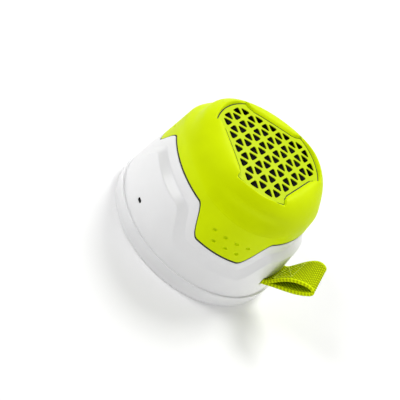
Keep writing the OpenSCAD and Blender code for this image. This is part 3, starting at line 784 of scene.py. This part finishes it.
def housing_cutters():
    cutters = at_angles(LOBES, BASE_BOSS_R, lambda: rod_mesh(1.2, 2, 11))
    cutters += at_angles(LOBES, DRIVER_BOSS_R, lambda: rod_mesh(0.9, 44, CROWN_Z + 1))
    cutters += at_angles(CARRIER_ANGLES, CARRIER_BOSS_R, lambda: rod_mesh(0.8, 48, CROWN_Z + 5))
    half = WEBBING_W / 2 + 0.5
    cutters.append(box_mesh((34, -half, SLOT_Z - 2), (44, half, SLOT_Z + 2.6), 0.6))
    cutters.append(box_mesh((27, -10.3, 14.2), (34.9, 10.3, 21.6), 0.3))
    bar = rod_mesh(1.55, -14, 14)
    lay = Matrix.Rotation(math.pi / 2, 4, "X")
    cutters.append(placed(bar, Matrix.Translation((BAR_X * MM, 0, SLOT_Z * MM)) @ lay))
    for k in (-1, 0, 1):
        turn = outward(BACK + k * BUTTON_STEP, 0, 0, BUTTON_Z)
        cutters.append(placed(flared_rod(BUTTON_D / 2 + 0.3, 36.8, 39.8, 0.35), turn))
        cutters.append(placed(rod_mesh(1.75, 32, 38), turn))
    turn = Matrix.Rotation(math.radians(BACK), 4, "Z")
    cutters.append(placed(box_mesh((38.4, -7.2, SOCKET_Z - 4.6), (44, 7, SOCKET_Z + 4.6), 0.5), turn))
    cutters.append(placed(box_mesh((33, -4.9, SOCKET_Z - 2), (39, 4.9, SOCKET_Z + 2), 0.4), turn))
    pin = rod_mesh(0.53, SOCKET_Z - 6.4, SOCKET_Z + 6.4, 24)
    cutters.append(placed(pin, turn @ Matrix.Translation((HINGE_X * MM, HINGE_Y * MM, 0))))
    # the sound hole is a slot: two round ends with a box between them
    turn = outward(MIC_ANGLE, 0, 0, MIC_Z)
    cutters.append(placed(rod_mesh(3.55, 33, 39), turn))
    for side in (-SOUND_HALF, SOUND_HALF):
        end = flared_rod(SOUND_R, 38, wall_r_at(MIC_Z), 0.15)
        cutters.append(placed(end, turn @ Matrix.Translation((side * MM, 0, 0))))
    cutters.append(placed(box_mesh((-SOUND_HALF, -SOUND_R, 38), (SOUND_HALF, SOUND_R, 44)), turn))
    return cutters


def make_housing(materials):
    mesh = boolean(housing_ring(), housing_bosses(), "UNION")
    mesh = boolean(mesh, housing_cutters(), "DIFFERENCE")
    shade(mesh, 32)
    mesh.materials.clear()
    mesh.materials.append(materials["white_plastic"])
    add_object("housing_skin", mesh, "speaker_body", ["housing_shell"])
    plug = box_mesh((-1.6, -1.05, 39.1), (1.6, 1.05, wall_r_at(MIC_Z) - 0.2), 0.1)
    placed(plug, outward(MIC_ANGLE, 0, 0, MIC_Z))
    plug.materials.append(materials["membrane_cloth"])
    add_object("microphone_mesh", plug, "speaker_body")


# ---- Base ------------------------------------------------------------------

def make_base(materials):
    corners = [
        (0, 0.4, 0), (37.4, 0.4, 0.15), (37.4, 1.2, 0), (40, 1.2, 0), (40, 0.4, 0.15),
        (41.3, 0.4, 1.1), (42.15, 7.6, 0.5), (41.95, 8.2, 0.25), (38.75, 8.2, 0.15),
        (38.75, 2.8, 0.6), (0, 2.8, 0)
    ]
    mesh = solid_lathe("base_cover_skin", corners, 288, 5)
    posts = at_angles(LOBES, BATTERY_POST_R, lambda: rod_mesh(2.2, 2.3, 12.6, bevel=0.3))
    mesh = boolean(mesh, posts, "UNION")
    cutters = at_angles(LOBES, BASE_BOSS_R, lambda: rod_mesh(2.5, -0.6, 1.7))
    cutters += at_angles(LOBES, BASE_BOSS_R, lambda: rod_mesh(1.35, 1, 4))
    cutters += at_angles(LOBES, BATTERY_POST_R, lambda: rod_mesh(0.8, 7, 13))
    mesh = boolean(mesh, cutters, "DIFFERENCE")
    shade(mesh, 32)
    mesh.materials.clear()
    mesh.materials.append(materials["white_plastic"])
    add_object("base_cover_skin", mesh, "speaker_body", ["base_cover"])

    corners = [(37.5, 0.35, 0.2), (37.9, 0, 0.2), (38.5, 0, 0.1), (38.5, 0.2, 0.1), (38.9, 0.2, 0.1),
               (38.9, 0, 0.1), (39.5, 0, 0.2), (39.9, 0.35, 0.2), (39.9, 1.2, 0), (37.5, 1.2, 0)]
    foot = lathe("foot_ring_skin", corners, 256)
    shade(foot, 40)
    foot.materials.append(materials["dark_rubber"])
    add_object("foot_ring_skin", foot, "speaker_body", ["foot_ring"])


# ---- Grille ----------------------------------------------------------------

def rounded_loop(corners, reach, steps=4):
    """A closed outline whose corners are cut by short curves."""
    spots = np.asarray(corners, float)
    points = []
    for i, spot in enumerate(spots):
        ends = []
        for other in (spots[i - 1], spots[(i + 1) % len(spots)]):
            gap = other - spot
            length = np.linalg.norm(gap)
            ends.append(spot + gap / length * min(reach, 0.45 * length))
        for t in np.linspace(0, 1, steps + 1):
            points.append((1 - t) ** 2 * ends[0] + 2 * t * (1 - t) * spot + t * t * ends[1])
    return np.array(points)


def grille_holes():
    """Outlines of the grille's holes: triangles of the grid with rounded corners."""
    corner = PITCH / math.sqrt(3) - RIB_W
    reach = (NODE_R - RIB_W) * 2 / cosd(30)
    triangle = [(corner * cosd(turn), corner * sind(turn)) for turn in FLATS]
    shape = rounded_loop(triangle, reach, 8)
    row = np.array([cosd(30), sind(30)]) * PITCH
    col = np.array([0, 1]) * PITCH
    outlines = []
    for i in range(-6, 7):
        for j in range(-6, 7):
            for up in (0, 1):
                centre = i * row + j * col + (row + col) * (up + 1) / 3
                flat_distance = max(centre[0] * cosd(f) + centre[1] * sind(f) for f in FLATS)
                if np.hypot(*centre) < 3.4 * PITCH and flat_distance < 2.4 * PITCH:
                    turn = math.radians(up * 180 + 240)
                    spin = np.array([[math.cos(turn), -math.sin(turn)], [math.sin(turn), math.cos(turn)]])
                    outlines.append(shape @ spin.T + centre)
    return outlines


def plate_from_outlines(outlines, thickness, bevel):
    """A flat plate, its middle at z = 0, with holes and rounded edges."""
    curve = bpy.data.curves.new("plate", "CURVE")
    curve.dimensions = "2D"
    curve.fill_mode = "BOTH"
    curve.extrude = (thickness / 2 - bevel) * MM
    curve.bevel_depth = bevel * MM
    curve.bevel_resolution = 2
    curve.offset = -bevel * MM
    for outline in outlines:
        spline = curve.splines.new("POLY")
        spline.points.add(len(outline) - 1)
        for point, spot in zip(spline.points, outline):
            point.co = (spot[0] * MM, spot[1] * MM, 0, 1)
        spline.use_cyclic_u = True
    holder = bpy.data.objects.new("plate", curve)
    scene.collection.objects.link(holder)
    mesh = bpy.data.meshes.new_from_object(holder.evaluated_get(bpy.context.evaluated_depsgraph_get()))
    bpy.data.objects.remove(holder)
    return mesh


def welded(mesh, distance=0.004):
    shell = bmesh.new()
    shell.from_mesh(mesh)
    bmesh.ops.remove_doubles(shell, verts=shell.verts, dist=distance * MM)
    bmesh.ops.recalc_face_normals(shell, faces=shell.faces)
    shell.to_mesh(mesh)
    shell.free()
    return mesh


def make_grille(materials):
    sector = np.concatenate([np.arange(0, 27, 3), np.arange(27, 34, 0.5), np.arange(34, 60, 1.5)])
    half = np.concatenate([-sector[:0:-1], sector, [60.0]])
    angles = np.concatenate([flat + half for flat in FLATS])
    r = grille_outline_r(angles)
    outline = np.stack([r * cosd(angles), r * sind(angles)], axis=-1)
    mesh = welded(plate_from_outlines([outline] + grille_holes(), GRILLE_SKIN_T, 0.12))
    for v in mesh.vertices:
        v.co.z += float(dome_z(math.hypot(v.co.x, v.co.y) / MM) - GRILLE_SKIN_T / 2) * MM
    shade(mesh, 60)
    mesh.materials.append(materials["lime_plastic"])
    grille = add_object("grille_plate", mesh, "speaker_body", ["grille_panel"])
    even = grille.modifiers.new("even", "WEIGHTED_NORMAL")
    even.keep_sharp = True


# ---- Webbing ---------------------------------------------------------------

YARN = 0.8


def webbing_route():
    """Middle line of the webbing in the XZ plane, as the CAD model has it."""
    out = [
        (35.2, -0.8), (37.5, -0.8), (40.2, 0.3), (43, 2.6), (46.6, 5.6), (50.3, 8.8), (53.3, 11.8),
        (55.6, 14.5), (56.7, 16.3), (56.4, 17.6), (55, 18), (52.8, 17.4), (50.3, 15.8), (47.6, 13.3),
        (45.2, 10), (43.1, 6), (41.4, 2.6), (39.8, 1.1), (37.5, 0.8), (35.2, 0.8)
    ]
    around = [(BAR_X + 2.3 * cosd(a), 2.3 * sind(a)) for a in range(30, 331, 30)]
    return np.array(out + around) + [0, SLOT_Z]


def smooth_loop(points, step):
    """The same closed line as an even run of points, about step apart."""
    fine = []
    n = len(points)
    for i in range(n):
        p0, p1, p2, p3 = points[i - 1], points[i], points[(i + 1) % n], points[(i + 2) % n]
        for t in np.linspace(0, 1, 30, endpoint=False):
            fine.append(0.5 * (2 * p1 + (p2 - p0) * t + (2 * p0 - 5 * p1 + 4 * p2 - p3) * t * t
                               + (3 * p1 - p0 - 3 * p2 + p3) * t ** 3))
    fine = np.array(fine)
    for _ in range(12):
        fine = (np.roll(fine, 1, axis=0) + 2 * fine + np.roll(fine, -1, axis=0)) / 4
    closed = np.vstack([fine, fine[:1]])
    along = np.concatenate([[0], np.cumsum(np.linalg.norm(np.diff(closed, axis=0), axis=1))])
    count = 2 * round(along[-1] / step / 2)
    marks = np.linspace(0, along[-1], count, endpoint=False)
    line = np.stack([np.interp(marks, along, closed[:, k]) for k in (0, 1)], axis=-1)
    return line, along[-1]


class Webbing:
    """The closed band: its middle line and the surface places on it."""

    def __init__(self):
        self.line, self.length = smooth_loop(webbing_route(), 0.152)
        ahead = np.roll(self.line, -1, axis=0) - np.roll(self.line, 1, axis=0)
        ahead /= np.linalg.norm(ahead, axis=1, keepdims=True)
        self.side = np.stack([-ahead[:, 1], ahead[:, 0]], axis=-1)

    def places(self, index, across, height):
        """Points across mm from the middle and height mm off the middle line, at steps of the line."""
        p = self.line[index] + self.side[index] * height[..., None]
        lean = (1.1 + 0.28 * across) * smooth((p[..., 0] - 41) / 14)
        return np.stack([p[..., 0] - lean, across + 0 * p[..., 0], p[..., 1]], axis=-1)


def weave_height(u, v):
    """Height of a plain weave, 0 in the gaps and 1 on top of a yarn, at u along and v across."""
    i, j = np.floor(v / YARN), np.floor(u / YARN)
    y, x = 2 * (v / YARN - i) - 1, 2 * (u / YARN - j) - 1
    sway = np.cos(np.pi * (u / YARN - 0.5)) * np.cos(np.pi * i)
    sway_weft = np.cos(np.pi * (v / YARN - 0.5)) * np.cos(np.pi * j)
    warp = np.sqrt(np.clip(1 - y * y, 0, 1)) * (0.5 + 0.5 * sway)
    weft = np.sqrt(np.clip(1 - x * x, 0, 1)) * (0.28 - 0.22 * sway_weft)
    return np.maximum(warp, weft)


def make_webbing(materials):
    band = Webbing()
    count = len(band.line)
    half = WEBBING_W / 2 - 0.25
    thick = WEBBING_T / 2
    relief = 0.34
    along = np.arange(count) * band.length / count
    repeat = round(band.length / YARN / 2) * 2 * YARN
    u_even = along * repeat / band.length
    across = np.linspace(-half, half, 126)
    edge_turn = np.radians(np.linspace(90, -90, 9)[1:-1])
    offsets, heights, weave = [], [], []
    u, v = np.meshgrid(u_even, across, indexing="ij")
    selvedge = smooth((np.abs(v) - half + 1.1) / 0.5)
    cord_across = (np.abs(v) - half + 0.35) / 0.6
    cord = 0.62 + 0.14 * np.cos(np.pi * (u / YARN))
    cord = cord + 0.2 * np.sqrt(np.clip(1 - cord_across ** 2, 0, 1))
    top = mix(weave_height(u, v), cord, selvedge)
    under = mix(weave_height(u + YARN, v), cord, selvedge)
    # one face from left to right, the edge, the other face from right to left, the other edge
    for value, sign, order in ((top, 1, slice(None)), (under, -1, slice(None, None, -1))):
        offsets.append(v[:, order])
        heights.append((sign * (thick - relief + relief * value))[:, order])
        weave.append(value[:, order])
        ends = np.cos(edge_turn)[None, :] * 0.25 * np.ones((count, 1))
        offsets.append(sign * (half + ends))
        heights.append(sign * (thick - 0.12) * np.sin(edge_turn)[None, :] * np.ones((count, 1)))
        weave.append(0.62 + 0.16 * np.cos(np.pi * u_even / YARN)[:, None] + 0 * ends)
    offsets, heights, weave = (np.concatenate(g, axis=1) for g in (offsets, heights, weave))
    index = np.arange(count)[:, None] + np.zeros(offsets.shape, int)
    points = band.places(index, offsets, heights).reshape(-1, 3)
    mesh = mesh_from("webbing_band", points, loop_faces(*offsets.shape))
    # The weave heights stored here set the webbing's painted shade and painted highlight.
    mark = mesh.attributes.new("weave", "FLOAT", "POINT")
    mark.data.foreach_set("value", weave.reshape(-1).astype(np.float32))
    mesh.shade_smooth()
    mesh.materials.append(materials["lime_webbing"])
    webbing = add_object("webbing_band", mesh, "speaker_body", ["webbing_loop"])
    make_stitches(band, materials)


def capsule(start, end, normal, r=0.2, sag=0.16):
    """A short bowed stitch from start to end, standing a little proud in the middle."""
    sides, rings = 8, 9
    ahead = (end - start) / np.linalg.norm(end - start)
    third = np.cross(ahead, normal)
    points, faces = [], []
    for k in range(rings):
        s = k / (rings - 1)
        swell = math.sqrt(max(0.0, 1 - (2 * s - 1) ** 4))
        middle = mix(start, end, s) + normal * (sag * math.sin(math.pi * s) - 0.02)
        for m in range(sides):
            turn = 2 * math.pi * m / sides
            ring = r * max(swell, 0.15)
            points.append(middle + ring * (math.cos(turn) * normal + math.sin(turn) * third))
    for k in range(rings - 1):
        for m in range(sides):
            n = (m + 1) % sides
            faces.append([k * sides + m, k * sides + n, (k + 1) * sides + n, (k + 1) * sides + m])
    faces.append(list(range(sides))[::-1])
    faces.append([(rings - 1) * sides + m for m in range(sides)])
    return points, faces


def make_stitches(band, materials):
    """Box and cross stitching that closes the loop, next to the wall on the upper layer."""
    upper = [i for i, p in enumerate(band.line) if p[1] > SLOT_Z + 0.9 and band.side[i][1] < 0.5]
    spots = np.array([band.line[i] for i in upper])
    near_wall = int(np.argmin(np.abs(spots[:, 0] - 42.2) + 5 * (spots[:, 1] - SLOT_Z > 9)))
    root = upper[near_wall]
    step = band.length / len(band.line)
    box_long, half_wide = 9.5, 7.2
    corners = ((0, -half_wide), (0, half_wide), (box_long, half_wide), (box_long, -half_wide))
    lines = [(corners[i], corners[(i + 1) % 4]) for i in range(4)]
    lines += [(corners[0], corners[2]), (corners[1], corners[3])]
    sign = -1 if band.line[root - 5][0] > band.line[root][0] else 1
    up = 1 if band.side[root][1] > 0 or band.side[root][0] < 0 else -1
    points, faces = [], []

    def place(u, v):
        index = int(round(root + sign * u / step)) % len(band.line)
        high = WEBBING_T / 2 * up
        p = band.places(np.array([index]), np.array([v]), np.array([high]))[0]
        side = band.side[index] * up
        return p, np.array([side[0], 0, side[1]])

    for (u0, v0), (u1, v1) in lines:
        length = math.hypot(u1 - u0, v1 - v0)
        count = max(2, round(length / 1.75))
        for k in range(count):
            s0, s1 = (k + 0.12) / count, (k + 0.88) / count
            start, normal = place(mix(u0, u1, s0), mix(v0, v1, s0))
            end, _ = place(mix(u0, u1, s1), mix(v0, v1, s1))
            more, sides = capsule(start, end, normal)
            faces += [[f + len(points) for f in face] for face in sides]
            points += more
    mesh = mesh_from("webbing_stitches", points, faces)
    mesh.shade_smooth()
    mesh.materials.append(materials["stitch_thread"])
    add_object("webbing_stitches", mesh, "speaker_body")


# ---- Controls --------------------------------------------------------------

def symbol_cutters(kind):
    """Shallow cuts for a plus, a minus or a ring with a dot, built along +Z at the button's face."""
    low, high = 40.12, 41.5
    if kind == "ring":
        ring = lathe("cutter", [(1.5, low, 0), (1.95, low, 0), (1.95, high, 0), (1.5, high, 0)], 64)
        return [ring, rod_mesh(0.45, low, high)]
    bars = [box_mesh((-1.9, -0.26, low), (1.9, 0.26, high), 0.1)]
    if kind == "plus":
        bars.append(box_mesh((-0.26, -1.9, low), (0.26, 1.9, high), 0.1))
    return bars


def make_buttons(materials):
    kinds = (("power_button", 0, "ring"), ("volume_up_button", -1, "plus"),
             ("volume_down_button", 1, "minus"))
    for name, k, kind in kinds:
        corners = [(0, 33.1, 0), (2.4, 33.1, 0.15), (2.4, 33.7, 0.15), (1.5, 33.7, 0), (1.5, 37.6, 0),
                   (4, 37.6, 0.2), (4, 40.05, 0.55), (2.2, 40.34, 0.8), (0, 40.4, 0)]
        mesh = solid_lathe(name, corners, 96, 5)
        mesh = boolean(mesh, symbol_cutters(kind), "DIFFERENCE")
        placed(mesh, outward(BACK + k * BUTTON_STEP, 0, 0, BUTTON_Z))
        shade(mesh, 32)
        mesh.materials.clear()
        mesh.materials.append(materials["white_plastic"])
        add_object(name + "_cap", mesh, name, [name])


def wrapped(mesh, r):
    """Bends a flat plate (x sideways, y up, z outward from radius r) round the axis, in metres."""
    shell = bmesh.new()
    shell.from_mesh(mesh)
    for x in np.arange(-7, 8, 0.5):
        cut = shell.verts[:] + shell.edges[:] + shell.faces[:]
        bmesh.ops.bisect_plane(shell, geom=cut, plane_co=(x * MM, 0, 0), plane_no=(1, 0, 0))
    for v in shell.verts:
        turn, out = v.co.x / (r * MM), r * MM + v.co.z
        v.co = Vector((out * math.cos(turn), out * math.sin(turn), v.co.y))
    bmesh.ops.recalc_face_normals(shell, faces=shell.faces)
    shell.to_mesh(mesh)
    shell.free()
    return mesh


def make_port_cover(materials):
    low_y, high_y, half_z = -5.3, 6.7, 4.3
    inner, outer = 39.15, float(wall_r_at(SOCKET_Z)) + 0.13
    outline = rounded_loop([(low_y, SOCKET_Z - half_z), (high_y, SOCKET_Z - half_z),
                            (high_y, SOCKET_Z + half_z), (low_y, SOCKET_Z + half_z)], 1.4, 8)
    plate = welded(plate_from_outlines([outline], outer - inner, 0.3))
    plate = wrapped(plate, (inner + outer) / 2)
    plug = box_mesh((38.6, -4.1, SOCKET_Z - 1.3), (39.6, 4.1, SOCKET_Z + 1.3), 0.25)
    barrel = placed(rod_mesh(0.9, SOCKET_Z - BARREL_H / 2, SOCKET_Z + BARREL_H / 2, 40, 0.12),
                    Matrix.Translation((HINGE_X * MM, HINGE_Y * MM, 0)))
    web = box_mesh((39.2, HINGE_Y, SOCKET_Z - 3.3), (40.3, -4.6, SOCKET_Z + 3.3), 0.12)
    mesh = boolean(plate, [plug, barrel, web], "UNION")
    bore = placed(rod_mesh(0.55, SOCKET_Z - 6, SOCKET_Z + 6, 32),
                  Matrix.Translation((HINGE_X * MM, HINGE_Y * MM, 0)))
    notch = placed(rod_mesh(1.7, -1.6, 1.6, 48, 0.4),
                   Matrix.Translation((41.6 * MM, 6.5 * MM, SOCKET_Z * MM)))
    mesh = boolean(mesh, [bore, notch], "DIFFERENCE")
    mesh.transform(Matrix.Rotation(math.radians(BACK), 4, "Z"))
    shade(mesh, 32)
    mesh.materials.clear()
    mesh.materials.append(materials["white_plastic"])
    add_object("port_cover_flap", mesh, "port_cover", ["port_cover"])


# ---- Pieces kept from the CAD model ----------------------------------------

KEPT = {
    "dark_plastic": ("grille_carrier", "board_components", "tact_switches"),
    "dark_rubber": ("seal_ring", "driver_gasket", "microphone_boot", "battery_pad"),
    "screw_steel": ("carrier_screws", "base_screws", "webbing_bar", "driver_screws", "board_screws",
                    "magnet_top_plate", "magnet_back_plate", "port_hinge_pin"),
    "membrane_cloth": ("acoustic_membrane",),
    "basket_metal": ("driver_basket",),
    "magnet_ceramic": ("driver_magnet",),
    "surround_rubber": ("surround",),
    "cone_paper": ("speaker_cone", "dust_cap"),
    "copper_winding": ("voice_coil",),
    "spider_cloth": ("spider",),
    "battery_foil": ("battery_cell",),
    "board_laminate": ("main_board", "button_board"),
    "screen_metal": ("wireless_module", "usb_socket", "microphone"),
    "lead_sheath": ("speaker_leads", "battery_leads"),
}


def finish_cad_nodes(materials):
    for slot, names in KEPT.items():
        for name in names:
            node = nodes_cad[name]
            node.data.materials.clear()
            node.data.materials.append(materials[slot])


place_camera()
light_scene()
make_floor()
paints = make_materials()
make_cap(paints)
make_housing(paints)
make_base(paints)
make_grille(paints)
make_webbing(paints)
make_buttons(paints)
make_port_cover(paints)
finish_cad_nodes(paints)
